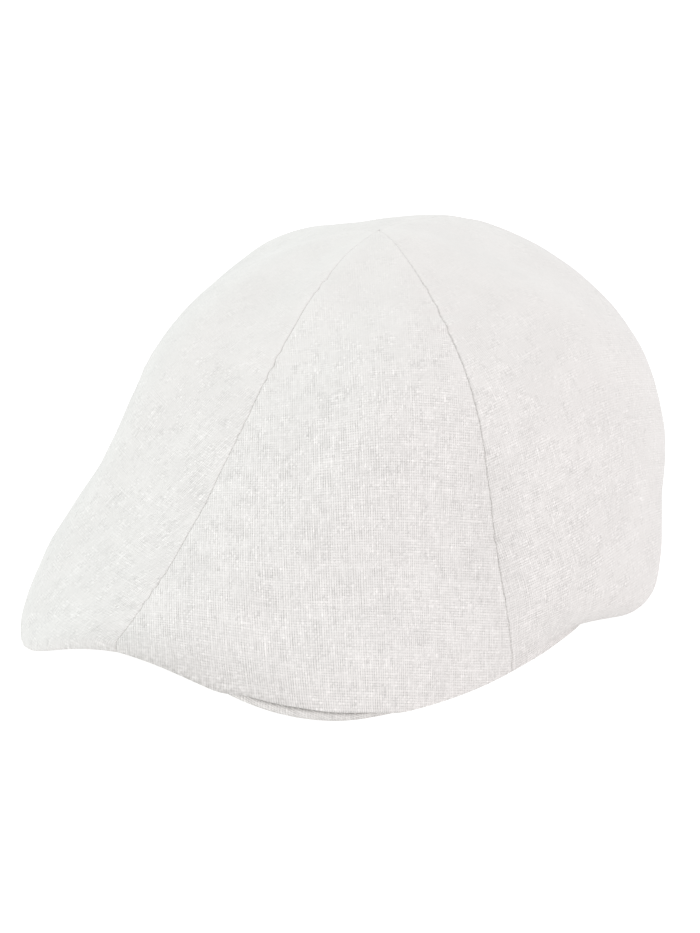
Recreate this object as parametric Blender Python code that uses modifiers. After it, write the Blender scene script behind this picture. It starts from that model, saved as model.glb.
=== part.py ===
"""A duckbill cap: four cloth panels from one apex, over an arched bill.

Metres, with +Z up. The cap rests on its hem and the bill's corners. The front points toward -Y and the
wearer's left is +X.
"""

import math

import bmesh
import bpy
import numpy as np

# The whole cap. Distances along Y are from a point near the crown's middle, until the plan is centred
# on the origin.
CROWN_HEIGHT = 0.135
APEX_Y = 0.0075
HEM_HALF_WIDTH = 0.0975
SIDE_Y = -0.038
BILL_FRONT_Y = -0.156
HEM_REAR_Y = 0.102
FRONT_ROUNDNESS = 2.1
REAR_ROUNDNESS = 2.1

# The bill's arch, which lifts the middle of its edge
ARCH_HEIGHT = 0.022
ARCH_HALF_SPAN = 0.0745
ARCH_CENTRE_X = 0.004

# Cloth and bill
CLOTH_THICKNESS = 0.0018
SEAM_GAP = 0.0006
FIT_GAP = 0.0004
BILL_THICKNESS = 0.0028
BILL_BEVEL = 0.0008
BILL_DEPTH = 0.060
BILL_TIP_WIDTH = 0.007
HEM_TURN = 0.0042
BILL_PEEK = 0.0026
PEEK_ANGLE = 24.0
PEEK_HALF_ANGLE = 14.0

# How far each panel's tip stands from the apex, so that the four tips don't touch
TIP_REACH = 0.0015

# The crown's profile down each line from the apex. The angle is the line's plan angle from the front.
# Each station is a reach, as a share of the distance from the apex to the hem, and a height, as a share
# of the crown's height above the hem. The last column is the share of HEM_TURN that stands upright.
PROFILE_COLUMNS = (
    "angle",
    "crest_reach", "crest_height",
    "shoulder_reach", "shoulder_height",
    "belly_reach", "belly_height",
    "tuck_reach", "tuck_height",
    "turn",
)
PROFILE = (
    (0, 0.25, 0.870, 0.49, 0.600, 0.73, 0.280, 0.955, 0.073, 1.00),
    (30, 0.29, 0.887, 0.57, 0.700, 0.795, 0.365, 0.98, 0.086, 1.00),
    (60, 0.41, 0.894, 0.725, 0.680, 0.87, 0.346, 0.99, 0.097, 1.00),
    (80, 0.47, 0.885, 0.83, 0.685, 1.005, 0.354, 1.08, 0.068, 0.75),
    (100, 0.515, 0.910, 0.935, 0.700, 1.10, 0.340, 1.19, 0.016, 0.50),
    (130, 0.525, 0.910, 1.03, 0.690, 1.22, 0.380, 1.13, 0.100, 0.60),
    (180, 0.50, 0.945, 0.995, 0.750, 1.175, 0.400, 1.12, 0.126, 0.70),
)
# How steeply the crown falls at the apex: the share of its height that it would lose in one full length
# of the line down to the hem
APEX_FALL = 0.12

# Panels, named with the plan angles of their two seams. Positive angles are on the wearer's left.
PANELS = {
    "front_left_panel": (0, 60),
    "side_left_panel": (60, 180),
    "front_right_panel": (-60, 0),
    "side_right_panel": (-180, -60),
}
COLUMN_ANGLE = 5.0
ROWS_PER_PANEL = 26
BILL_COLUMNS = 44
BILL_ROWS = 6

LINEN = (0.83, 0.82, 0.80, 1.0)
BILL_LINEN = (0.74, 0.73, 0.70, 1.0)


def spline(xs, ys, at, start_slope=None, end_slope=None):
    """A cubic spline through (xs, ys), read at each value of `at`. An end with no slope given is free."""
    xs = np.asarray(xs, float)
    ys = np.asarray(ys, float)
    steps = np.diff(xs)
    slopes = np.diff(ys) / steps
    count = len(xs)
    matrix = np.zeros((count, count))
    right = np.zeros(count)
    for i in range(1, count - 1):
        matrix[i, i - 1] = steps[i - 1]
        matrix[i, i] = 2 * (steps[i - 1] + steps[i])
        matrix[i, i + 1] = steps[i]
        right[i] = 6 * (slopes[i] - slopes[i - 1])
    if start_slope is None:
        matrix[0, 0] = 1
    else:
        matrix[0, :2] = 2 * steps[0], steps[0]
        right[0] = 6 * (slopes[0] - start_slope)
    if end_slope is None:
        matrix[-1, -1] = 1
    else:
        matrix[-1, -2:] = steps[-1], 2 * steps[-1]
        right[-1] = 6 * (end_slope - slopes[-1])
    bend = np.linalg.solve(matrix, right)
    at = np.clip(np.asarray(at, float), xs[0], xs[-1])
    i = np.clip(np.searchsorted(xs, at, side="right") - 1, 0, count - 2)
    past = (at - xs[i]) / steps[i]
    before = 1 - past
    curved = (before**3 - before) * bend[i] + (past**3 - past) * bend[i + 1]
    return before * ys[i] + past * ys[i + 1] + curved * steps[i] ** 2 / 6


def smoothstep(value):
    value = min(max(value, 0.0), 1.0)
    return value * value * (3 - 2 * value)


def hem_reach(angle):
    """Distance in plan from the apex to the hem, along a line at this angle from the front."""
    along_x = math.sin(math.radians(angle))
    along_y = -math.cos(math.radians(angle))
    near, far = 0.0, 2 * (HEM_REAR_Y - BILL_FRONT_Y)
    for _ in range(50):
        middle = (near + far) / 2
        x = abs(middle * along_x) / HEM_HALF_WIDTH
        y = APEX_Y + middle * along_y - SIDE_Y
        if y < 0:
            outside = x**FRONT_ROUNDNESS + (-y / (SIDE_Y - BILL_FRONT_Y)) ** FRONT_ROUNDNESS > 1
        else:
            outside = x**REAR_ROUNDNESS + (y / (HEM_REAR_Y - SIDE_Y)) ** REAR_ROUNDNESS > 1
        if outside:
            far = middle
        else:
            near = middle
    return near


def arch(x, y):
    """Height of the bill's underside. Behind the hem's widest line it is flat on the ground."""
    if y >= SIDE_Y:
        return 0.0
    share = min(1.0, abs(x - ARCH_CENTRE_X) / ARCH_HALF_SPAN)
    return ARCH_HEIGHT * (1 - share * share) ** 2


def peek(angle):
    """How much of the bill's edge shows below the cloth: most of it at the left front, none elsewhere."""
    return BILL_PEEK * smoothstep(1 - abs(angle - PEEK_ANGLE) / PEEK_HALF_ANGLE)


def meridian(angle):
    """Points (reach, height) of the cloth's outer face down one line, from near the apex to the hem."""
    table = np.array(PROFILE)
    shares = [spline(table[:, 0], table[:, k], [abs(angle)], 0.0, 0.0)[0] for k in range(1, table.shape[1])]
    reach = hem_reach(angle)
    x = reach * math.sin(math.radians(angle))
    y = APEX_Y - reach * math.cos(math.radians(angle))
    hem = arch(x, y)
    turn = HEM_TURN * shares[-1]
    reaches = np.array([0.0, *shares[0:8:2], 1.0]) * reach
    heights = hem + np.array([1.0, *shares[1:8:2], 0.0]) * (CROWN_HEIGHT - hem)
    heights[-1] = hem + turn
    chord = np.concatenate([[0.0], np.cumsum(np.hypot(np.diff(reaches), np.diff(heights)))])
    chord /= chord[-1]
    rows = np.arange(1, ROWS_PER_PANEL + 1) / ROWS_PER_PANEL
    rows = 1 - (1 - rows) ** 1.6
    points_r = spline(chord, reaches, rows)
    points_z = spline(chord, heights, rows, start_slope=-APEX_FALL * CROWN_HEIGHT)
    points_r = np.append(points_r, reach)
    points_z = np.append(points_z, hem + peek(angle))
    return points_r, points_z


def plan_centre_y():
    """Middle of the cap's length, from its front edge to the back of its rear bulge."""
    rear = max(meridian(angle)[0].max() * -math.cos(math.radians(angle)) for angle in range(150, 181, 5))
    return (BILL_FRONT_Y + APEX_Y + rear) / 2


def panel_faces(first, last, centre_y):
    """Points and faces of one gore's outer face, its edges half a seam gap from the seams."""
    points = []
    columns = round((last - first) / COLUMN_ANGLE)
    for column in range(columns + 1):
        angle = first + (last - first) * column / columns
        side = {0: 1, columns: -1}.get(column, 0) * SEAM_GAP / 2
        sine = math.sin(math.radians(angle))
        cosine = math.cos(math.radians(angle))
        for r, z in zip(*meridian(angle)):
            points.append((r * sine + side * cosine, APEX_Y - r * cosine + side * sine - centre_y, z))
    middle = math.radians((first + last) / 2)
    tip = (TIP_REACH * math.sin(middle), APEX_Y - TIP_REACH * math.cos(middle) - centre_y, CROWN_HEIGHT)
    rows = ROWS_PER_PANEL + 1
    faces = []
    for column in range(columns):
        here, there = column * rows, (column + 1) * rows
        faces.append((len(points), here, there))
        faces += [(here + k, here + k + 1, there + k + 1, there + k) for k in range(rows - 1)]
    return [*points, tip], faces


def bill_faces(centre_y):
    """Points and faces of the bill's top, a crescent between its edge and the head opening."""
    inset = CLOTH_THICKNESS + FIT_GAP
    inner_half_width = HEM_HALF_WIDTH - inset - BILL_TIP_WIDTH
    points = []
    for column in range(BILL_COLUMNS + 1):
        turn = math.pi * (column / BILL_COLUMNS - 0.5)
        across = math.copysign(abs(math.sin(turn)) ** (2 / FRONT_ROUNDNESS), turn)
        along = abs(math.cos(turn)) ** (2 / FRONT_ROUNDNESS)
        outer = ((HEM_HALF_WIDTH - inset) * across, SIDE_Y - (SIDE_Y - BILL_FRONT_Y - inset) * along)
        inner_length = SIDE_Y - BILL_FRONT_Y - inset - BILL_DEPTH
        inner = (inner_half_width * math.sin(turn), SIDE_Y - inner_length * math.cos(turn))
        for row in range(BILL_ROWS + 1):
            share = row / BILL_ROWS
            x = outer[0] + (inner[0] - outer[0]) * share
            y = outer[1] + (inner[1] - outer[1]) * share
            points.append((x, y - centre_y, arch(x, y) + BILL_THICKNESS))
    rows = BILL_ROWS + 1
    faces = []
    for column in range(BILL_COLUMNS):
        here, there = column * rows, (column + 1) * rows
        faces += [(here + k, there + k, there + k + 1, here + k + 1) for k in range(BILL_ROWS)]
    return points, faces


def linen(name, colour, roughness):
    material = bpy.data.materials.new(name)
    material.use_nodes = True
    shader = material.node_tree.nodes["Principled BSDF"]
    shader.inputs["Base Color"].default_value = colour
    shader.inputs["Roughness"].default_value = roughness
    shader.inputs["Metallic"].default_value = 0.0
    return material


def shell(name, collection, points, faces, thickness, material):
    """A smooth shell whose outer face is the given surface, thickened inward."""
    mesh = bpy.data.meshes.new(name)
    mesh.from_pydata(points, [], faces)
    turned = bmesh.new()
    turned.from_mesh(mesh)
    bmesh.ops.recalc_face_normals(turned, faces=turned.faces)
    if sum(face.normal.z * face.calc_area() for face in turned.faces) < 0:
        bmesh.ops.reverse_faces(turned, faces=turned.faces)
    turned.to_mesh(mesh)
    turned.free()
    mesh.shade_smooth()
    mesh.materials.append(material)
    item = bpy.data.objects.new(name, mesh)
    collection.objects.link(item)
    solid = item.modifiers.new("thickness", "SOLIDIFY")
    solid.thickness = thickness
    solid.offset = -1
    solid.use_even_offset = True
    return item


def main():
    for item in list(bpy.data.objects):
        bpy.data.objects.remove(item, do_unlink=True)
    cap = bpy.data.collections.new("duckbill_cap")
    bpy.context.scene.collection.children.link(cap)
    centre_y = plan_centre_y()
    cloth = linen("linen", LINEN, 0.9)
    for name, (first, last) in PANELS.items():
        points, faces = panel_faces(first, last, centre_y)
        shell(name, cap, points, faces, CLOTH_THICKNESS, cloth)
    points, faces = bill_faces(centre_y)
    bill = shell("bill", cap, points, faces, BILL_THICKNESS, linen("bill_linen", BILL_LINEN, 0.9))
    edge = bill.modifiers.new("edge", "BEVEL")
    edge.width = BILL_BEVEL
    edge.segments = 2
    edge.angle_limit = math.radians(50)


main()
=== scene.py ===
"""A linen duckbill cap on a pale table: four cloth panels that meet over a curved bill.

Metres, with +Z up. The front points toward -Y and the wearer's left is +X. The forms follow the
solid model's, with seams, ripples and a woven linen surface added. A plan angle is a direction seen
from above, in degrees round the apex from the front, and positive toward the wearer's left.
"""

import math
from types import SimpleNamespace

import bpy
import numpy as np
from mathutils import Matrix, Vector

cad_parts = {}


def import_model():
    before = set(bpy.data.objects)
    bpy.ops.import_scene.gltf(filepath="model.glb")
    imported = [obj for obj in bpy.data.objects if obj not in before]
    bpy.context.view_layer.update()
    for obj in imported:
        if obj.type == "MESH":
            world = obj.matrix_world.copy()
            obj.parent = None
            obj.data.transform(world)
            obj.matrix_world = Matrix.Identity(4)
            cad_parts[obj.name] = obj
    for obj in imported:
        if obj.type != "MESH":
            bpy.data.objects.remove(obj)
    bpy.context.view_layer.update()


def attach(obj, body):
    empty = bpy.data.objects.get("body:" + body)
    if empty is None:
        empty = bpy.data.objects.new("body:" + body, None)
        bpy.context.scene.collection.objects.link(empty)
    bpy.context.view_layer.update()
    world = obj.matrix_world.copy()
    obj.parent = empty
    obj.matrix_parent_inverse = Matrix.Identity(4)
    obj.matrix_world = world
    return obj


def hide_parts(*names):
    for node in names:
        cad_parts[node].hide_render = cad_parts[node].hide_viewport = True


# The whole cap. Distances along Y are from a point near the crown's middle, until the plan is
# centred on the origin.
CROWN_HEIGHT = 0.135
APEX_Y = 0.0075
APEX_FALL = 0.12
HEM_HALF_WIDTH = 0.0975
HEM_REAR_Y = 0.102
HEM_TURN = 0.0042
SIDE_Y = -0.038
ROUNDNESS = 2.1
ARCH_HEIGHT = 0.022
ARCH_HALF_SPAN = 0.0745
ARCH_CENTRE_X = 0.004
CLOTH_THICKNESS = 0.0018
FIT_GAP = 0.0004
BILL_FRONT_Y = -0.156
BILL_THICKNESS = 0.0028
BILL_DEPTH = 0.060
BILL_TIP_WIDTH = 0.007

# The crown's profile down each line from the apex: the line's plan angle, then four stations, each
# a share of the reach to the hem and a share of the height above it, then the share of HEM_TURN
# that stands upright. The crown is the same on both sides.
STATIONS = ("crest", "shoulder", "belly", "tuck")
PROFILE_COLUMNS = (
    "angle",
    "crest_reach", "crest_height",
    "shoulder_reach", "shoulder_height",
    "belly_reach", "belly_height",
    "tuck_reach", "tuck_height",
    "turn",
)
PROFILE = (
    (0, 0.25, 0.878, 0.49, 0.600, 0.73, 0.280, 0.955, 0.073, 1.00),
    (30, 0.29, 0.892, 0.57, 0.700, 0.795, 0.365, 0.98, 0.086, 1.00),
    (60, 0.41, 0.894, 0.725, 0.680, 0.87, 0.346, 0.99, 0.097, 1.00),
    (80, 0.47, 0.885, 0.83, 0.685, 1.005, 0.354, 1.08, 0.068, 0.75),
    (100, 0.515, 0.910, 0.935, 0.700, 1.10, 0.340, 1.175, 0.016, 0.50),
    (130, 0.525, 0.908, 1.023, 0.690, 1.216, 0.385, 1.112, 0.100, 0.60),
    (180, 0.50, 0.945, 0.995, 0.750, 1.175, 0.400, 1.12, 0.126, 0.70),
)
# Lines round the back, among which the furthest point is: first and last plan angle, and their
# number
REAR_LINES = (150, 180, 7)

# The bill's edge shows under the cloth's at the left front. Plan angle, then the height that is
# bare:
BARE_EDGE = (
    (12.5, 0.0), (14.5, 0.0005), (17, 0.0027), (20, 0.0037),
    (24, 0.0044), (29, 0.0038), (34, 0.0024), (39, 0.0),
)
# Plan angle, then how far the edge hangs below the hem's own line:
EDGE_SAG = ((13.5, 0.0), (16.5, 0.0006), (20, 0.0011), (25, 0.0009), (30, 0.0003), (33.5, 0.0))
# The share of the bare height by which the cloth's last bend rises
BARE_BEND = 0.45
# How far the bare edge is pushed out, and the bare height at which it is so in full
BILL_PUSH = 0.0016
BARE_PUSHED = 0.0010
# The slot between the cloth and the bare edge, and the shade painted in it: its depth, the plan
# angle where it starts and the degrees over which it grows. Then the shade painted on the edge.
BILL_SLOT = 0.0005
BILL_SLOT_SHADE = 1.6
SLOT_SHADE_START = 14
SLOT_SHADE_SPREAD = 9
BILL_EDGE_SHADE = 0.18

# Panels: the CAD node, the plan angles of the two seams and of the line that the warp follows, how
# fast the weft bends away from it, the distance from the apex at which the weave shows in full,
# then the cut cloth's width, length and area
PANEL_COLUMNS = (
    "node", "first_seam", "last_seam", "warp_angle", "weft_bend", "weave_in_full",
    "cut_width", "cut_length", "cut_area",
)
PANELS = (
    ("front_left_panel", 0, 60, 37, 0.63, 0.125, 0.135, 0.210, 0.0190),
    ("side_left_panel", 60, 180, 84, 1.0, 0.15, 0.240, 0.195, 0.0325),
    ("front_right_panel", -60, 0, -37, 0.63, 0.15, 0.135, 0.210, 0.0190),
    ("side_right_panel", -180, -60, -84, 1.0, 0.15, 0.240, 0.195, 0.0325),
)
# How far each panel's and the bill's cloth lies from the one before it in the weave's pattern
PANEL_GRAIN_SHIFT = (0.37, 0.23)
BILL_GRAIN_SHIFT = 3.1

# Seams: the plan angle, how plainly it shows at the apex, the distance from the apex at which it
# shows in full, how wide and dark the shade painted along its line is, how much shade is painted
# in the hollow round it, and the seed of its ripples
SEAM_COLUMNS = ("plan_angle", "at_apex", "in_full", "dark", "hollow", "seed")
SEAMS = (
    (0, 0.3, 0.06, 0.9, 0.0, 1),
    (60, 0.3, 0.06, 1.45, 0.34, 61),
    (-60, 0.05, 0.08, 1.0, 0.0, 561),
    (180, 0.05, 0.08, 1.0, 0.0, 181),
    (-180, 0.05, 0.08, 1.0, 0.0, 181),
)
# Each panel's edge turns inward in a small round at a seam, and ripples a little
SEAM_GAP = 0.00004
SEAM_ROUND = 0.0006
SEAM_DEPTH = 0.0004
# How far the painted shade at seams, hollows, the hem and the bill's edge darkens the cloth
PAINTED_SHADE_DEPTH = 0.26
RIPPLE_DEPTH = 0.00022
RIPPLE_REACH = 0.006
RIPPLE_LENGTH = 0.0065
RIPPLE_CHANGE = 0.4
RIPPLE_CHANGE_LENGTH = 0.04
RIPPLE_CHANGE_SEED = 7
# The shade painted in the hollow round a seam: its reach, where it starts from the apex and how
# fast it grows
HOLLOW_REACH = 0.014
HOLLOW_START = 0.08
HOLLOW_SPREAD = 0.05

# The cloth stands a little proud between the seams and swells softly, less at the hem and the apex
PUFF = 0.0005
PUFF_REACH = 0.012
SWELL = 0.00035
SWELL_COLUMNS = ("share", "length", "seed")
SWELLS = ((1.0, 0.045, 77), (0.35, 0.018, 78))
HEM_SWELL = 0.3
HEM_SWELL_REACH = 0.020
APEX_SMOOTH_REACH = 0.010
WAVE_COUNT = 10
WAVE_LENGTHS = (0.7, 1.5)

# Shade is painted on the cloth where it curls under at the hem, beside the bill's bare edge: the
# shade's reach from the hem, then its depth. It is deepest at one plan angle and fades over some
# degrees on both sides. Worn cloth reaches this far from a seam or the hem.
HEM_SHADES = ((0.018, 1.1), (0.0025, 0.8))
HEM_SHADE_ANGLE = 10
HEM_SHADE_SPREAD = 26
WORN_REACH = 0.004

# How plainly the weave shows round the cap: plan angle, then its share
WEAVE_SHOWN = (
    (-180, 0.8), (-100, 0.8), (-60, 0.6), (-35, 0.32), (-1, 0.55),
    (1, 0.75), (25, 0.95), (60, 0.95), (66, 0.82), (90, 0.50), (120, 0.27), (140, 0.40), (180, 0.8),
)
# The share of it that shows at the apex, and how far from the apex that holds
APEX_WEAVE = 0.12
APEX_WEAVE_REACH = 0.03
# How much plainer the warp's lines are than the weft's: plan angle, then the difference
WARP_LEAD = (
    (-180, -0.1), (-60, 0.3), (-1, 0.3), (3, 0.35), (25, 0.25), (42, -0.05),
    (58, -0.2), (70, -0.5), (120, -0.5), (180, -0.1),
)

# Meshes: the number of points along and across, how the rows crowd toward the hem, the small hole
# at the apex that the two tips close, and the angle from which an edge is sharp
COLUMNS_PER_DEGREE = 1.5
PANEL_ROWS = 170
HEM_ROWS = 6
ROW_CROWDING = 0.4
ROW_POWER = 1.6
RIM_STEPS = 4
BILL_COLUMNS = 180
BILL_ROWS = 24
BILL_EDGE_STEPS = 8
TIP_REACH = 0.0003
SHARP_ANGLE = 60.0
# A length to divide by where a normal has none. Then the share of a panel's mean height at which
# the point lies that its normals point away from: low, because the cap is open below.
SHORTEST_NORMAL = 1e-12
MIDDLE_HEIGHT = 0.3
# How often the search for the hem halves its step
HALVINGS = 40
# The last bend above the hem is softened: the share of the rows where this starts, and over which
# it grows, and how often it is done
SOFTENED_START = 0.85
SOFTENED_SPREAD = 0.05
SOFTENED_PASSES = 10

# The weave, in millimetres: the threads' pitch, and how far and how fast they drift sideways
GRAIN_SCALE = 1000.0
WARP_PITCH = 0.86
WEFT_PITCH = 0.98
WARP_SEED = 1.1
WEFT_SEED = 9.2
DRIFT = 0.7
DRIFT_ALONG = 0.03
DRIFT_ACROSS = 0.5
# What changes along each thread: the spread of its noise between threads, its length along them,
# the noise at which it starts and is full, its layer of noise, and its least and most value
TRAIT_COLUMNS = ("name", "spread", "length", "start", "full", "layer", "least", "most")
TRAITS = (
    ("shade", 3.7, 7.0, 0.25, 0.75, 2.3, 0.0, 1.0),
    ("slub", 5.3, 13.0, 0.60, 0.78, 4.6, 0.0, 1.0),
    ("fleck", 7.1, 3.0, 0.64, 0.74, 6.4, 0.0, 1.0),
    ("glint", 7.1, 3.0, 0.37, 0.27, 6.4, 0.0, 1.0),
    ("gap", 6.1, 6.0, 0.30, 0.70, 8.8, 0.35, 1.65),
)
# The share of a thread's shade that is the same along its whole length
OWN_SHARE = 0.4
OWN_SEED = 0.5
# How much higher a thread lies where it passes over the others, and its height where it passes
# under them. Then how much a slub adds.
WARP_RISE = (0.5, 0.5)
WEFT_RISE = (0.6, 0.35)
SLUB_SWELL = 0.25
# The difference in height over which one set of threads hides the other
OVERLAP = 0.12

# How dark it is between the threads, at the holes between four of them, and where the weave is
# faint
WARP_GAP = 0.33
WEFT_GAP = 0.21
HOLE_GAP = 0.45
MEAN_GAP = 0.22
SLUB_CLOSES = -0.45

# What each thing adds to the cloth's brightness
OWN_BRIGHT = 0.14
SLUB_BRIGHT = 0.03
FLECK_BRIGHT = -0.15
GLINT_BRIGHT = 0.10
CROSSING_BRIGHT = 0.06
WORN_BRIGHT = 0.02
# Rows of bright and dark dots where the weave is faint: how bright, and which of the crossings
# they are
DOT_BRIGHT = 0.16
BRIGHT_DOTS = (0.80, 0.90)
DARK_DOTS = (0.20, 0.10)
# How patchy the weave is where it doesn't show, and what is added to that where it shows in full
PATCHY = (1.05, -0.90)
# Soft patches on the cloth: their size in millimetres, seed, least and most value, and detail
PATCH_COLUMNS = ("name", "size", "seed", "least", "most", "detail")
PATCHES = (
    ("weave", 5.0, 17.0, -1.0, 1.0, 2.0),
    ("lead", 4.0, 29.0, -0.45, 0.45, 1.0),
    ("cloud", 20.0, 2.0, 0.98, 1.02, 2.0),
    ("mottle", 2.8, 3.0, -0.008, 0.008, 2.0),
    ("grit", 1.1, 13.0, -0.010, 0.010, 2.0),
    # This one breaks the painted shade into dashes
    ("stitched", 1.4, 7.0, 0.4, 1.6, 2.0),
)
# The noise at which a patch starts and is full
PATCH_RANGE = (0.32, 0.68)

# The cloth's colours, for its threads and between them. The bill's copy is a little darker between
# the threads, which is painted shade.
LINEN_COLOUR = (0.890, 0.872, 0.852)
LINEN_GAP_COLOUR = (0.50, 0.49, 0.47)
BILL_COLOUR = (0.89, 0.875, 0.85)
BILL_GAP_COLOUR = (0.46, 0.45, 0.43)

# The cloth's surface. Relief and roughness are a number, then what is added to it by the weave.
RELIEF_HEIGHT = 0.00022
RELIEF = (0.2, 0.5)
FUZZ = 0.35
FUZZ_SCALE = 2.3
FUZZ_SEED = 5.0
ROUGHNESS = (0.80, 0.10)
SPECULAR = 0.25
SHEEN = 0.25
SHEEN_ROUGHNESS = 0.5

# The table, which glows a little and more so in the picture, like a light table
TABLE_HALF_SIZE = 4.0
TABLE_TONE = (0.55, 0.02)
TABLE_FIBRE_SCALE = 900.0
TABLE_FIBRE_HEIGHT = 0.0001
TABLE_ROUGHNESS = 0.9
TABLE_GLOW = (0.40, 0.37)

# The light from all round: where its pink side is, the two sides' colours and its strength
PINK_SIDE = (0.86, -0.05, -0.50)
GREEN_LIGHT = (0.965, 1.034, 1.024)
PINK_LIGHT = (1.125, 1.030, 1.055)
WORLD_STRENGTH = 1.0
# The key light, a disk
KEY_PLACE = (-1.8, -1.5, 1.0)
KEY_TARGET = (0.0, 0.0, 0.05)
KEY_SIZE = 2.0
KEY_WATTS = 4

# The picture
CAMERA_TARGET = (0.012, -0.01156, 0.052)
CAMERA_AZIMUTH = 34.9
CAMERA_ELEVATION = 21.2
CAMERA_DISTANCE = 1.5
CAMERA_FOCAL = 155.9
CAMERA_SENSOR = 36.0
CAMERA_SHIFT = (0.002, 0.00825)
CAMERA_CLIP_END = 50.0


def named_rows(columns, rows):
    """The rows of a table, each with its values under the columns' names."""
    return [SimpleNamespace(**dict(zip(columns, row))) for row in rows]


def spline(xs, ys, at, start_slope=None, end_slope=None):
    """Cubic splines, one for each row of xs and ys, read at each value in the same row of `at`.

    An end with no slope given is free.
    """
    xs, ys = np.broadcast_arrays(np.asarray(xs, float), np.asarray(ys, float))
    steps = np.diff(xs, axis=1)
    slopes = np.diff(ys, axis=1) / steps
    lines, count = xs.shape
    matrix = np.zeros((lines, count, count))
    right = np.zeros((lines, count))
    for i in range(1, count - 1):
        matrix[:, i, i - 1] = steps[:, i - 1]
        matrix[:, i, i] = 2 * (steps[:, i - 1] + steps[:, i])
        matrix[:, i, i + 1] = steps[:, i]
        right[:, i] = 6 * (slopes[:, i] - slopes[:, i - 1])
    matrix[:, 0, 0] = 1
    matrix[:, -1, -1] = 1
    if start_slope is not None:
        matrix[:, 0, 0] = 2 * steps[:, 0]
        matrix[:, 0, 1] = steps[:, 0]
        right[:, 0] = 6 * (slopes[:, 0] - start_slope)
    if end_slope is not None:
        matrix[:, -1, -2] = steps[:, -1]
        matrix[:, -1, -1] = 2 * steps[:, -1]
        right[:, -1] = 6 * (end_slope - slopes[:, -1])
    bend = np.linalg.solve(matrix, right[:, :, None])[:, :, 0]
    at = np.clip(at, xs[:, :1], xs[:, -1:])
    i = np.clip((at[:, :, None] >= xs[:, None, :]).sum(axis=2) - 1, 0, count - 2)

    def pick(values, shift=0):
        return np.take_along_axis(values, i + shift, axis=1)

    step = pick(steps)
    past = (at - pick(xs)) / step
    before = 1 - past
    curved = (before**3 - before) * pick(bend) + (past**3 - past) * pick(bend, 1)
    return before * pick(ys) + past * pick(ys, 1) + curved * step**2 / 6


def by_angle(table, angles):
    """A table's values at these plan angles, on a smooth line that is level at both ends."""
    table = np.array(table)
    return spline(table[None, :, 0], table[None, :, 1], angles[None, :], 0.0, 0.0)[0]


def smoothstep(value):
    """From 0 to 1 as the value goes from 0 to 1, with a soft start and end."""
    value = np.clip(value, 0.0, 1.0)
    return value * value * (3 - 2 * value)


def running_total(steps, axis):
    """Distances along a line from the steps between its points, which start at 0."""
    none = 0 * np.take(steps, [0], axis=axis)
    return np.concatenate([none, np.cumsum(steps, axis=axis)], axis=axis)


def hem_reach(angles):
    """Distance in plan from the apex to the hem, along lines at these plan angles."""
    along_x = np.abs(np.sin(np.radians(angles)))
    along_y = -np.cos(np.radians(angles))
    near = np.zeros_like(along_x)
    far = np.full_like(along_x, 2 * (HEM_REAR_Y - BILL_FRONT_Y))
    for _ in range(HALVINGS):
        middle = (near + far) / 2
        y = APEX_Y + middle * along_y - SIDE_Y
        length = np.where(y < 0, SIDE_Y - BILL_FRONT_Y, HEM_REAR_Y - SIDE_Y)
        width_share = middle * along_x / HEM_HALF_WIDTH
        outside = width_share**ROUNDNESS + (np.abs(y) / length) ** ROUNDNESS > 1
        far = np.where(outside, middle, far)
        near = np.where(outside, near, middle)
    return near


def arch(x, y):
    """Height of the bill's underside. Behind the hem's widest line it is flat on the table."""
    share = np.minimum(1.0, np.abs(x - ARCH_CENTRE_X) / ARCH_HALF_SPAN)
    return np.where(y < SIDE_Y, ARCH_HEIGHT * (1 - share * share) ** 2, 0.0)


def meridians(angles):
    """(reach, height) of the cloth's outer face down lines at these plan angles, a row for each."""
    columns = dict(zip(PROFILE_COLUMNS, np.transpose(PROFILE)))
    known = columns.pop("angle")
    shares = spline(
        np.tile(known, (len(columns), 1)), list(columns.values()),
        np.tile(np.abs(angles), (len(columns), 1)), 0.0, 0.0,
    )
    share = dict(zip(columns, shares))
    reach = hem_reach(angles)
    x = reach * np.sin(np.radians(angles))
    y = APEX_Y - reach * np.cos(np.radians(angles))
    hem = arch(x, y)
    bare = by_angle(BARE_EDGE, angles)
    ones = np.ones_like(reach)
    reaches = np.array([0 * ones, *(share[name + "_reach"] for name in STATIONS), ones]) * reach
    heights = np.array([ones, *(share[name + "_height"] for name in STATIONS), 0 * ones])
    heights = hem + heights * (CROWN_HEIGHT - hem)
    heights[-1] = hem + HEM_TURN * share["turn"] + BARE_BEND * bare
    reaches, heights = reaches.T, heights.T
    chord = running_total(np.hypot(np.diff(reaches, axis=1), np.diff(heights, axis=1)), 1)
    chord /= chord[:, -1:]
    rows = np.tile(np.linspace(0, 1, PANEL_ROWS - HEM_ROWS), (len(angles), 1))
    rows = (1 - ROW_CROWDING) * rows + ROW_CROWDING * (1 - (1 - rows) ** ROW_POWER)
    points_r = spline(chord, reaches, rows)
    points_z = spline(chord, heights, rows, start_slope=-APEX_FALL * CROWN_HEIGHT)
    foot = hem + bare + CLOTH_THICKNESS / 2
    turn = np.linspace(0, 1, HEM_ROWS + 1)[1:]
    points_r = np.hstack([points_r, np.tile(reach[:, None], (1, HEM_ROWS))])
    points_z = np.hstack([points_z, points_z[:, -1:] + (foot[:, None] - points_z[:, -1:]) * turn])
    points_r[:, 0] = TIP_REACH
    return soften_hem(points_r, points_z)


def soften_hem(points_r, points_z):
    """Rounds the corner where the crown turns down to the hem."""
    last = points_r.shape[1] - 1
    weight = smoothstep((np.arange(last + 1) / last - SOFTENED_START) / SOFTENED_SPREAD)
    weight[-1] = 0
    for _ in range(SOFTENED_PASSES):
        for line in (points_r, points_z):
            middle = (line[:, :-2] + 2 * line[:, 1:-1] + line[:, 2:]) / 4
            line[:, 1:-1] += (middle - line[:, 1:-1]) * weight[1:-1]
    return points_r, points_z


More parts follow.
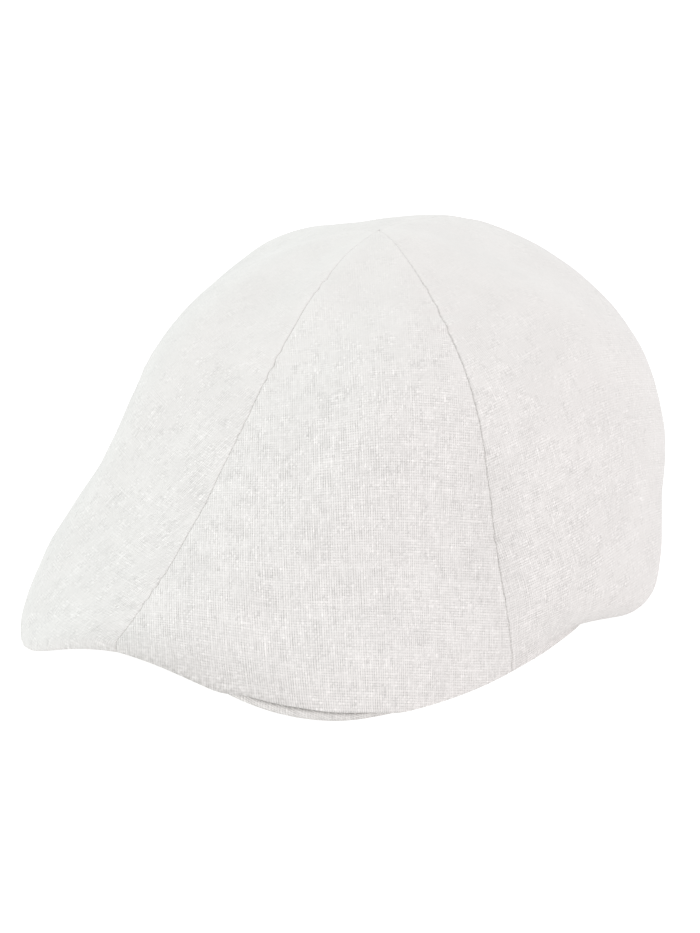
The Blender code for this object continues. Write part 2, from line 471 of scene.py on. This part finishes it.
def plan_centre_y():
    """Middle of the cap's length, from its front edge to the back of its rear bulge."""
    angles = np.linspace(*REAR_LINES)
    rear = (meridians(angles)[0].max(axis=1) * -np.cos(np.radians(angles))).max()
    return (BILL_FRONT_Y + APEX_Y + rear) / 2


def waves(points, length, seed):
    """A smooth random field of about unit size, its swells about this length apart."""
    chance = np.random.default_rng(seed)
    directions = chance.normal(size=(WAVE_COUNT, points.shape[-1]))
    directions /= np.linalg.norm(directions, axis=1, keepdims=True)
    rates = 2 * math.pi / (length * chance.uniform(*WAVE_LENGTHS, WAVE_COUNT))
    starts = chance.uniform(0, 2 * math.pi, WAVE_COUNT)
    total = 0
    for direction, rate, start in zip(directions, rates, starts):
        total = total + np.sin((points @ direction) * rate + start)
    return total / math.sqrt(WAVE_COUNT / 2)


def grid_normals(points):
    """Unit normals of a panel's grid of points, on its outer side."""
    across = np.gradient(points, axis=0)
    down = np.gradient(points, axis=1)
    normals = np.cross(down, across)
    normals /= np.maximum(np.linalg.norm(normals, axis=2, keepdims=True), SHORTEST_NORMAL)
    middle = points.mean(axis=(0, 1)) * (1, 1, MIDDLE_HEIGHT)
    outward = (normals * (points - middle)).sum()
    return normals if outward > 0 else -normals


def crown_grid(first, last, centre_y):
    """A panel's plain outer face: plan angles, points, and the distance from the apex to each."""
    columns = round((last - first) * COLUMNS_PER_DEGREE) + 1
    share = np.linspace(-1, 1, columns)
    eased = np.sign(share) * (1 - (1 - np.abs(share)) ** 2)
    angles = first + (last - first) * (eased + 1) / 2
    points_r, points_z = meridians(angles)
    turned = np.radians(angles)[:, None]
    y = APEX_Y - points_r * np.cos(turned) - centre_y
    points = np.stack([points_r * np.sin(turned), y, points_z], axis=2)
    run = running_total(np.linalg.norm(np.diff(points, axis=1), axis=2), 1)
    return angles, points, run


def seam_relief(angles, seams, points, run, centre_y):
    """How far each point of the plain face moves outward, for the seams, ripples and swells.

    Also returns how much shade is painted on it at a seam, and its distance from the nearest seam.
    """
    from_apex = np.hypot(points[:, :, 0], points[:, :, 1] - APEX_Y + centre_y)
    near_apex = smoothstep(run / APEX_SMOOTH_REACH)
    distance = np.full_like(run, np.inf)
    painted_shade = np.zeros_like(run)
    offset = np.zeros_like(run)
    line = run[:, :, None]
    for seam in seams:
        away = from_apex * np.sin(np.radians(np.abs(angles - seam.plan_angle)))[:, None]
        shown = seam.at_apex + (1 - seam.at_apex) * smoothstep(run / seam.in_full)
        inside = np.clip(1 - away / SEAM_ROUND, 0, 1)
        offset -= SEAM_DEPTH * (1 - np.sqrt(1 - inside**2)) * shown
        painted_line_shade = smoothstep(1 - away / (SEAM_ROUND * seam.dark)) * seam.dark * shown
        hollow = seam.hollow * smoothstep(1 - away / HOLLOW_REACH)
        hollow = hollow * smoothstep((run - HOLLOW_START) / HOLLOW_SPREAD)
        painted_shade = np.maximum(np.maximum(painted_shade, painted_line_shade), hollow)
        change = waves(line, RIPPLE_CHANGE_LENGTH, seam.seed + RIPPLE_CHANGE_SEED)
        ripple = waves(line, RIPPLE_LENGTH, seam.seed)
        ripple = ripple * (1 - RIPPLE_CHANGE + RIPPLE_CHANGE * change)
        offset += RIPPLE_DEPTH * ripple * np.exp(-((away / RIPPLE_REACH) ** 2)) * near_apex * shown
        distance = np.minimum(distance, away)
    offset += PUFF * (1 - np.exp(-distance / PUFF_REACH)) * near_apex
    hem_fade = HEM_SWELL + (1 - HEM_SWELL) * smoothstep((run[:, -1:] - run) / HEM_SWELL_REACH)
    for swell in named_rows(SWELL_COLUMNS, SWELLS):
        field = swell.share * waves(points, swell.length, swell.seed)
        offset += SWELL * field * near_apex * hem_fade
    return offset, painted_shade, distance


def shell_faces(columns, path, rows):
    """Faces of a closed shell: a grid of paths that run down outside and up again inside."""
    here = (np.arange(columns - 1)[:, None] * path + np.arange(path - 1)).reshape(-1)
    faces = np.stack([here, here + 1, here + path + 1, here + path], axis=1).tolist()
    outer_tip, inner_tip = columns * path, columns * path + 1
    for column in range(columns - 1):
        here, there = column * path, (column + 1) * path
        faces.append([outer_tip, here, there])
        faces.append([inner_tip, there + path - 1, here + path - 1])
    for start, turn in ((0, 1), ((columns - 1) * path, -1)):
        side = [[outer_tip, inner_tip, start + path - 1, start]]
        for k in range(rows - 1):
            side.append([start + k, start + path - 1 - k, start + path - 2 - k, start + k + 1])
        side.append(list(range(start + rows - 1, start + path - rows + 1))[::-1])
        faces += [face[::turn] for face in side]
    return faces


def mesh_piece(name, points, faces, uvs, material):
    """A smooth-shaded mesh object with one UV for each vertex."""
    mesh = bpy.data.meshes.new(name)
    mesh.from_pydata(points, [], faces)
    layer = mesh.uv_layers.new(name="grain")
    corners = np.empty(len(mesh.loops), np.int32)
    mesh.loops.foreach_get("vertex_index", corners)
    layer.data.foreach_set("uv", np.asarray(uvs, np.float32)[corners].reshape(-1))
    mesh.shade_smooth()
    mesh.set_sharp_from_angle(angle=math.radians(SHARP_ANGLE))
    mesh.materials.append(material)
    piece = bpy.data.objects.new(name, mesh)
    bpy.context.scene.collection.objects.link(piece)
    return piece


def store_values(piece, name, values):
    """Stores one value for each vertex, for the material to read by this name."""
    store = piece.data.attributes.new(name, "FLOAT", "POINT")
    store.data.foreach_set("value", values.reshape(-1).astype(np.float32))


def rounded_rim(outer, inner, normals):
    """Points round the hem's edge, from the outer face to the inner one."""
    down = outer[:, -1] - outer[:, -2]
    down /= np.linalg.norm(down, axis=1, keepdims=True)
    middle = (outer[:, -1] + inner[:, -1]) / 2
    rim = []
    for k in range(1, RIM_STEPS + 1):
        turn = math.pi * k / (RIM_STEPS + 1)
        outward = math.cos(turn) * normals[:, -1] + math.sin(turn) * down
        rim.append(middle + CLOTH_THICKNESS / 2 * outward)
    return np.stack(rim, axis=1)


def cloth_grain(points, run, angles, panel):
    """Where each point lies on the flat cloth, in metres across and along its warp.

    A point keeps its distance from the apex, turned by its share of the panel's width.
    """
    across = running_total(np.linalg.norm(np.diff(points, axis=0), axis=2), 0)
    across -= across[np.abs(angles - panel.warp_angle).argmin()]
    turned = across / (run + TIP_REACH)
    return np.stack([run * np.sin(turned), run * np.cos(panel.weft_bend * turned)], axis=2)


def along_paths(outer):
    """Values of a panel's outer face carried round the hem, up the inner face and to both tips."""
    rim = np.repeat(outer[:, -1:], RIM_STEPS, axis=1)
    carried = np.concatenate([outer, rim, outer[:, ::-1]], axis=1).reshape(-1, outer.shape[2])
    return np.concatenate([carried, carried[:1], carried[:1]])


def make_panel(index, panel, centre_y, material):
    """One gore of the crown: outer face, rounded hem and inner face, as one closed sheet."""
    seam_at = {seam.plan_angle: seam for seam in named_rows(SEAM_COLUMNS, SEAMS)}
    seams = [seam_at[panel.first_seam], seam_at[panel.last_seam]]
    angles, plain, run = crown_grid(panel.first_seam, panel.last_seam, centre_y)
    normals = grid_normals(plain)
    offset, painted_shade, distance = seam_relief(angles, seams, plain, run, centre_y)
    outer = plain + normals * offset[:, :, None]
    for column, side, seam in ((0, 1, seams[0]), (-1, -1, seams[1])):
        outer[column, :, 0] += side * SEAM_GAP / 2 * math.cos(math.radians(seam.plan_angle))
        outer[column, :, 1] += side * SEAM_GAP / 2 * math.sin(math.radians(seam.plan_angle))
    inner = outer - normals * CLOTH_THICKNESS
    paths = np.concatenate([outer, rounded_rim(outer, inner, normals), inner[:, ::-1]], axis=1)
    columns, path = paths.shape[:2]
    tip = (outer[0, 0] + outer[-1, 0] + outer[columns // 2, 0]) / 3
    points = np.concatenate([paths.reshape(-1, 3), [tip, tip - (0, 0, CLOTH_THICKNESS)]])
    grain = along_paths(cloth_grain(plain, run, angles, panel))
    grain = grain + [index * shift for shift in PANEL_GRAIN_SHIFT]
    faces = shell_faces(columns, path, plain.shape[1])
    piece = mesh_piece(panel.node.replace("_panel", "_cloth"), points, faces, grain, material)

    grown = smoothstep((run - APEX_WEAVE_REACH) / (panel.weave_in_full - APEX_WEAVE_REACH))
    weave = np.interp(angles, *np.transpose(WEAVE_SHOWN))[:, None]
    weave = weave * (APEX_WEAVE + (1 - APEX_WEAVE) * grown)
    lead = np.interp(angles, *np.transpose(WARP_LEAD))[:, None] + 0 * run
    from_hem = run[:, -1:] - run
    shade = sum(depth * smoothstep(1 - from_hem / reach) for reach, depth in HEM_SHADES)
    shade = shade * smoothstep(1 - np.abs(angles - HEM_SHADE_ANGLE) / HEM_SHADE_SPREAD)[:, None]
    worn = smoothstep(1 - np.minimum(distance, from_hem) / WORN_REACH)
    store_values(piece, "weave", along_paths(weave[:, :, None]))
    store_values(piece, "warp_lead", along_paths(lead[:, :, None]))
    # The seams' painted line and hollow shade, and the shade painted where the hem curls under
    store_values(piece, "seam", along_paths(np.maximum(painted_shade, shade)[:, :, None]))
    store_values(piece, "worn", along_paths(worn[:, :, None]))
    return piece


def bill_plan():
    """The bill seen from above: its outer and inner edges, and the outer edge's plan angles."""
    inset = CLOTH_THICKNESS + FIT_GAP
    length = SIDE_Y - BILL_FRONT_Y - inset
    turn = np.linspace(-math.pi / 2, math.pi / 2, BILL_COLUMNS)
    across = np.sign(turn) * np.abs(np.sin(turn)) ** (2 / ROUNDNESS)
    along = np.abs(np.cos(turn)) ** (2 / ROUNDNESS)
    outer = np.stack([(HEM_HALF_WIDTH - inset) * across, SIDE_Y - length * along], axis=1)
    angles = np.degrees(np.arctan2(outer[:, 0], APEX_Y - outer[:, 1]))
    away = outer - (0, APEX_Y)
    away /= np.linalg.norm(away, axis=1, keepdims=True)
    pushed = smoothstep(by_angle(BARE_EDGE, angles) / BARE_PUSHED)
    outer += away * (BILL_PUSH * pushed)[:, None]
    half_width = HEM_HALF_WIDTH - inset - BILL_TIP_WIDTH
    inner_y = SIDE_Y - (length - BILL_DEPTH) * np.cos(turn)
    inner = np.stack([half_width * np.sin(turn), inner_y], axis=1)
    return outer, inner, angles


def make_bill(centre_y, material):
    """The bill: a stiff crescent with a rounded edge, curved across as one sheet."""
    outer, inner, angles = bill_plan()
    sag = by_angle(EDGE_SAG, angles)
    bare = by_angle(BARE_EDGE, angles)
    thickness = np.maximum(BILL_THICKNESS, bare - BILL_SLOT) + sag
    radius = thickness / 2
    edge = radius / np.linalg.norm(outer - inner, axis=1)

    def flat_stretch(lift):
        """From the inner edge to the outer one: each row's share of the width, and its lift."""
        return [(edge + (1 - 2 * edge) * k / BILL_ROWS, lift) for k in range(BILL_ROWS + 1)]

    # Each path goes across the top, round the outer edge, back underneath and round the inner edge
    bends = [math.pi * k / BILL_EDGE_STEPS for k in range(1, BILL_EDGE_STEPS)]
    path = flat_stretch(thickness)
    path += [(1 - edge + edge * math.sin(bend), radius + radius * math.cos(bend)) for bend in bends]
    path += flat_stretch(0 * thickness)[::-1]
    path += [(edge - edge * math.sin(bend), radius - radius * math.cos(bend)) for bend in bends]
    shares, lifts = (np.stack(values, axis=1) for values in zip(*path))
    flat = inner[:, None, :] + (outer - inner)[:, None, :] * shares[:, :, None]
    height = arch(flat[:, :, 0], flat[:, :, 1]) + lifts - sag[:, None] * shares**2
    paths = np.concatenate([flat - (0, centre_y), height[:, :, None]], axis=2)

    columns, count = paths.shape[:2]
    last = (columns - 1) * count
    faces = []
    for here in range(0, last, count):
        for k in range(count):
            after = (k + 1) % count
            faces.append([here + k, here + after, here + count + after, here + count + k])
    faces += [list(range(count))[::-1], list(range(last, last + count))]
    # The covering cloth runs along the edge and is wrapped over it
    along_edge = running_total(np.linalg.norm(np.diff(outer, axis=0), axis=1), 0)[:, None]
    over_edge = running_total(np.linalg.norm(np.diff(paths, axis=1), axis=2), 1)
    uvs = np.stack([over_edge + BILL_GRAIN_SHIFT, along_edge + 0 * over_edge], axis=2)
    uvs = uvs.reshape(-1, 2)
    piece = mesh_piece("bill_board", paths.reshape(-1, 3), faces, uvs, material)
    # Painted shade: a little on the bill's outer edge, and more in the slot under the cloth's hem
    shade = np.zeros((columns, count))
    shade[:, BILL_ROWS + 1:BILL_ROWS + BILL_EDGE_STEPS] = BILL_EDGE_SHADE
    slot = smoothstep((angles - SLOT_SHADE_START) / SLOT_SHADE_SPREAD)
    shade[:, BILL_ROWS - 1:BILL_ROWS + 3] = BILL_SLOT_SHADE * slot[:, None]
    store_values(piece, "weave", np.ones(len(uvs)))
    store_values(piece, "seam", shade)
    return piece


class Tree:
    """A short way to write a material's nodes."""

    def __init__(self, material):
        material.use_nodes = True
        self.tree = material.node_tree
        self.shader = self.tree.nodes["Principled BSDF"]

    def put(self, socket, value):
        if isinstance(value, bpy.types.NodeSocket):
            self.tree.links.new(value, socket)
        else:
            socket.default_value = value

    def node(self, kind, inputs=None, output=0, **settings):
        made = self.tree.nodes.new(kind)
        for key, value in settings.items():
            setattr(made, key, value)
        for key, value in (inputs or {}).items():
            self.put(made.inputs[key], value)
        return made.outputs[output]

    def math(self, operation, *values):
        return self.node("ShaderNodeMath", dict(enumerate(values)), operation=operation)

    def vector(self, x, y, z=0.0):
        return self.node("ShaderNodeCombineXYZ", {"X": x, "Y": y, "Z": z})

    def grey(self, tone):
        return self.node("ShaderNodeCombineColor", {0: tone, 1: tone, 2: tone})

    def noise(self, vector, scale, detail=2.0):
        return self.node("ShaderNodeTexNoise", {"Vector": vector, "Scale": scale, "Detail": detail})

    def chance(self, number, seed):
        vector = self.vector(number, seed)
        return self.node("ShaderNodeTexWhiteNoise", {"Vector": vector}, noise_dimensions="2D")

    def attribute(self, name):
        return self.node("ShaderNodeAttribute", attribute_name=name, output=2)

    def ramp(self, value, low, high, to_low=0.0, to_high=1.0):
        inputs = {0: value, 1: low, 2: high, 3: to_low, 4: to_high}
        return self.node("ShaderNodeMapRange", inputs, interpolation_type="SMOOTHSTEP")

    def mix_value(self, share, first, second):
        return self.node("ShaderNodeMix", {0: share, 2: first, 3: second})

    def mix(self, share, first, second, blend="MIX"):
        made = self.tree.nodes.new("ShaderNodeMix")
        made.data_type = "RGBA"
        made.blend_type = blend
        self.put(made.inputs[0], share)
        self.put(made.inputs[6], first)
        self.put(made.inputs[7], second)
        return made.outputs[2]


def thread_set(tree, along, across, pitch, seed):
    """Parallel threads, spaced along `across` and running along `along`, both in millimetres.

    `top` is a thread's rounded height from 0 to 1, and `wave` is where it passes between the two
    faces. Its shade, slubs, dark flecks, glints and the gap beside it all change along its length.
    """
    drift_along = tree.math("MULTIPLY", along, DRIFT_ALONG)
    drift_across = tree.math("MULTIPLY", across, DRIFT_ACROSS)
    drift = tree.noise(tree.vector(drift_along, drift_across, seed), 1.0)
    drift = tree.math("MULTIPLY", tree.math("SUBTRACT", drift, 0.5), DRIFT)
    place = tree.math("DIVIDE", tree.math("ADD", across, drift), pitch)
    number = tree.math("FLOOR", place)
    threads = SimpleNamespace(
        number=number,
        gap_number=tree.math("FLOOR", tree.math("ADD", place, 0.5)),
        top=tree.math("SINE", tree.math("MULTIPLY", tree.math("FRACT", place), math.pi)),
        wave=tree.math("SINE", tree.math("MULTIPLY", place, math.pi)),
    )
    for trait in named_rows(TRAIT_COLUMNS, TRAITS):
        spot = tree.vector(
            tree.math("MULTIPLY", number, trait.spread),
            tree.math("DIVIDE", along, trait.length),
            seed + trait.layer,
        )
        noise = tree.noise(spot, 1.0, 1.0)
        value = tree.ramp(noise, trait.start, trait.full, trait.least, trait.most)
        setattr(threads, trait.name, value)
    threads.own = tree.mix_value(OWN_SHARE, threads.shade, tree.chance(number, seed + OWN_SEED))
    return threads


def thread_height(tree, threads, on_face, rise):
    """Height of these threads: greatest where they pass over the others, and greater at a slub."""
    over, under = rise
    high = tree.math("MULTIPLY", threads.top, tree.math("MULTIPLY_ADD", on_face, over, under))
    return tree.math("MULTIPLY", high, tree.math("MULTIPLY_ADD", threads.slub, SLUB_SWELL, 1.0))


def gap_depth(tree, warp, weft, slub, lead):
    """How dark it is between threads, with the warp's lines plainer than the weft's by `lead`."""
    warp_lines = tree.math("MULTIPLY", tree.math("ADD", 1.0, lead), WARP_GAP)
    weft_lines = tree.math("MULTIPLY", tree.math("SUBTRACT", 1.0, lead), WEFT_GAP)
    beside_warp = tree.math("SUBTRACT", 1.0, warp.top)
    beside_weft = tree.math("SUBTRACT", 1.0, weft.top)
    gap = tree.math("MULTIPLY", tree.math("MULTIPLY", beside_warp, warp.gap), warp_lines)
    gap = tree.math("MULTIPLY_ADD", tree.math("MULTIPLY", beside_weft, weft.gap), weft_lines, gap)
    hole = tree.chance(warp.gap_number, weft.gap_number)
    hole = tree.math("MULTIPLY", tree.math("MULTIPLY", beside_warp, beside_weft), hole)
    gap = tree.math("MULTIPLY_ADD", hole, HOLE_GAP, gap)
    return tree.math("MULTIPLY", gap, tree.math("MULTIPLY_ADD", slub, SLUB_CLOSES, 1.0))


def linen_material(name, colour, gap_colour):
    """Plain-woven linen: uneven warp and weft, slubs and flecks, small gaps and a soft sheen."""
    material = bpy.data.materials.new(name)
    tree = Tree(material)
    grain = tree.node("ShaderNodeUVMap", uv_map="grain")
    parts = tree.tree.nodes.new("ShaderNodeSeparateXYZ")
    tree.put(parts.inputs[0], grain)
    u = tree.math("MULTIPLY", parts.outputs[0], GRAIN_SCALE)
    v = tree.math("MULTIPLY", parts.outputs[1], GRAIN_SCALE)
    patches = {}
    for patch in named_rows(PATCH_COLUMNS, PATCHES):
        noise = tree.noise(tree.vector(u, v, patch.seed), 1 / patch.size, patch.detail)
        patches[patch.name] = tree.ramp(noise, *PATCH_RANGE, patch.least, patch.most)

    # Where the weave is faint it shows in patches, as rows of bright and dark dots
    plain = tree.attribute("weave")
    patchy = tree.math("MULTIPLY_ADD", plain, PATCHY[1], PATCHY[0])
    weave = tree.math("MULTIPLY_ADD", patches["weave"], patchy, 1.0)
    weave = tree.math("MULTIPLY", weave, plain)

    warp = thread_set(tree, v, u, WARP_PITCH, WARP_SEED)
    weft = thread_set(tree, u, v, WEFT_PITCH, WEFT_SEED)
    over = tree.math("MULTIPLY_ADD", tree.math("MULTIPLY", warp.wave, weft.wave), 0.5, 0.5)
    under = tree.math("SUBTRACT", 1.0, over)
    warp_high = thread_height(tree, warp, over, WARP_RISE)
    weft_high = thread_height(tree, weft, under, WEFT_RISE)
    height = tree.math("MAXIMUM", warp_high, weft_high)
    on_top = tree.ramp(tree.math("SUBTRACT", warp_high, weft_high), -OVERLAP, OVERLAP)
    own = tree.mix_value(on_top, weft.own, warp.own)
    fleck = tree.mix_value(on_top, weft.fleck, warp.fleck)
    glint = tree.mix_value(on_top, weft.glint, warp.glint)
    slub = tree.math("MAXIMUM", warp.slub, weft.slub)
    crossing = tree.chance(warp.number, weft.number)
    dots = tree.math("SUBTRACT", tree.ramp(crossing, *BRIGHT_DOTS), tree.ramp(crossing, *DARK_DOTS))

    # In some places the warp's lines show more plainly, and in others the weft's
    lead = tree.math("ADD", tree.attribute("warp_lead"), patches["lead"])
    gap = tree.mix_value(weave, MEAN_GAP, gap_depth(tree, warp, weft, slub, lead))

    uneven = tree.math("MULTIPLY_ADD", own, OWN_BRIGHT, -OWN_BRIGHT / 2)
    uneven = tree.math("MULTIPLY_ADD", slub, SLUB_BRIGHT, uneven)
    uneven = tree.math("MULTIPLY_ADD", fleck, FLECK_BRIGHT, uneven)
    uneven = tree.math("MULTIPLY_ADD", glint, GLINT_BRIGHT, uneven)
    varied = tree.math("SUBTRACT", crossing, 0.5)
    uneven = tree.math("MULTIPLY_ADD", varied, CROSSING_BRIGHT, uneven)
    uneven = tree.math("MULTIPLY_ADD", dots, tree.math("MULTIPLY", patchy, DOT_BRIGHT), uneven)
    bright = tree.math("MULTIPLY", uneven, weave)
    for patch in ("cloud", "mottle", "grit"):
        bright = tree.math("ADD", bright, patches[patch])
    bright = tree.math("MULTIPLY_ADD", tree.attribute("worn"), WORN_BRIGHT, bright)

    thread_colour = tree.mix(1.0, (*colour, 1.0), tree.grey(bright), "MULTIPLY")
    cloth = tree.mix(gap, thread_colour, (*gap_colour, 1.0))
    # Painted shade: at seams and their hollows, the hem's curl, and the bill's edge and slot
    painted_shade = tree.math("MULTIPLY", tree.attribute("seam"), PAINTED_SHADE_DEPTH)
    painted_shade = tree.math("MULTIPLY", painted_shade, patches["stitched"])
    cloth = tree.mix(painted_shade, cloth, (*gap_colour, 1.0))
    tree.put(tree.shader.inputs["Base Color"], cloth)

    fuzz = tree.noise(tree.vector(u, v, FUZZ_SEED), FUZZ_SCALE)
    relief = tree.math("ADD", height, tree.math("MULTIPLY", fuzz, FUZZ))
    strength = tree.math("MULTIPLY_ADD", weave, RELIEF[1], RELIEF[0])
    bump = {"Height": relief, "Distance": RELIEF_HEIGHT, "Strength": strength}
    tree.put(tree.shader.inputs["Normal"], tree.node("ShaderNodeBump", bump))
    rough = tree.math("MULTIPLY_ADD", own, ROUGHNESS[1], ROUGHNESS[0])
    tree.put(tree.shader.inputs["Roughness"], rough)
    tree.shader.inputs["Specular IOR Level"].default_value = SPECULAR
    tree.shader.inputs["Sheen Weight"].default_value = SHEEN
    tree.shader.inputs["Sheen Roughness"].default_value = SHEEN_ROUGHNESS
    return material


def floor_material():
    """A white light table, so that only a faint shadow shows on it."""
    material = bpy.data.materials.new("light_table")
    tree = Tree(material)
    place = tree.node("ShaderNodeTexCoord", output=3)
    fibre = tree.noise(place, TABLE_FIBRE_SCALE, 3.0)
    tone = tree.math("MULTIPLY_ADD", fibre, TABLE_TONE[1], TABLE_TONE[0])
    tree.put(tree.shader.inputs["Base Color"], tree.grey(tone))
    tree.shader.inputs["Roughness"].default_value = TABLE_ROUGHNESS
    tree.shader.inputs["Emission Color"].default_value = (1.0, 1.0, 1.0, 1.0)
    camera_ray = tree.node("ShaderNodeLightPath", output=0)
    glow = tree.math("MULTIPLY_ADD", camera_ray, TABLE_GLOW[1], TABLE_GLOW[0])
    tree.put(tree.shader.inputs["Emission Strength"], glow)
    bump = tree.node("ShaderNodeBump", {"Height": fibre, "Distance": TABLE_FIBRE_HEIGHT})
    tree.put(tree.shader.inputs["Normal"], bump)
    return material


def make_floor():
    """The table's top, which is no part of the cap."""
    size = TABLE_HALF_SIZE
    corners = [(-size, -size, 0), (size, -size, 0), (size, size, 0), (-size, size, 0)]
    mesh = bpy.data.meshes.new("table_top")
    mesh.from_pydata(corners, [], [(0, 1, 2, 3)])
    mesh.materials.append(floor_material())
    floor = bpy.data.objects.new("table_top", mesh)
    bpy.context.scene.collection.objects.link(floor)


def make_world():
    """Even light from all round, faintly green on one side and pink on the other."""
    world = bpy.data.worlds.new("studio")
    world.use_nodes = True
    nodes, links = world.node_tree.nodes, world.node_tree.links
    direction = nodes.new("ShaderNodeTexCoord")
    toward = nodes.new("ShaderNodeVectorMath")
    toward.operation = "DOT_PRODUCT"
    toward.inputs[1].default_value = Vector(PINK_SIDE).normalized()
    share = nodes.new("ShaderNodeMath")
    share.operation = "MULTIPLY_ADD"
    share.inputs[1].default_value = 0.5
    share.inputs[2].default_value = 0.5
    colour = nodes.new("ShaderNodeMix")
    colour.data_type = "RGBA"
    colour.inputs[6].default_value = (*GREEN_LIGHT, 1.0)
    colour.inputs[7].default_value = (*PINK_LIGHT, 1.0)
    links.new(direction.outputs["Generated"], toward.inputs[0])
    links.new(toward.outputs["Value"], share.inputs[0])
    links.new(share.outputs[0], colour.inputs[0])
    background = nodes["Background"]
    links.new(colour.outputs[2], background.inputs["Color"])
    background.inputs["Strength"].default_value = WORLD_STRENGTH
    bpy.context.scene.world = world


def make_key_light():
    """A weak light from the wearer's right front, which gives the cap its form."""
    data = bpy.data.lights.new("key", "AREA")
    data.shape = "DISK"
    data.size = KEY_SIZE
    data.energy = KEY_WATTS
    light = bpy.data.objects.new("key", data)
    light.location = KEY_PLACE
    toward = Vector(KEY_TARGET) - Vector(KEY_PLACE)
    light.rotation_euler = toward.to_track_quat("-Z", "Y").to_euler()
    bpy.context.scene.collection.objects.link(light)


def make_camera():
    """The photograph's view."""
    azimuth = math.radians(CAMERA_AZIMUTH)
    elevation = math.radians(CAMERA_ELEVATION)
    level = math.cos(elevation)
    away = Vector((math.sin(azimuth) * level, -math.cos(azimuth) * level, math.sin(elevation)))
    data = bpy.data.cameras.new("camera")
    data.lens = CAMERA_FOCAL
    data.sensor_width = CAMERA_SENSOR
    data.shift_x, data.shift_y = CAMERA_SHIFT
    data.clip_end = CAMERA_CLIP_END
    camera = bpy.data.objects.new("camera", data)
    camera.location = Vector(CAMERA_TARGET) + away * CAMERA_DISTANCE
    camera.rotation_euler = (-away).to_track_quat("-Z", "Y").to_euler()
    bpy.context.scene.collection.objects.link(camera)
    bpy.context.scene.camera = camera


def main():
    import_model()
    bpy.context.scene.view_settings.view_transform = "Standard"
    centre_y = plan_centre_y()
    linen = linen_material("linen", LINEN_COLOUR, LINEN_GAP_COLOUR)
    bill_linen = linen_material("bill_linen", BILL_COLOUR, BILL_GAP_COLOUR)
    for index, panel in enumerate(named_rows(PANEL_COLUMNS, PANELS)):
        cloth = make_panel(index, panel, centre_y, linen)
        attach(cloth, "root")
        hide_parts(panel.node)
    bill = make_bill(centre_y, bill_linen)
    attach(bill, "root")
    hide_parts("bill")
    make_floor()
    make_world()
    make_key_light()
    make_camera()


main()
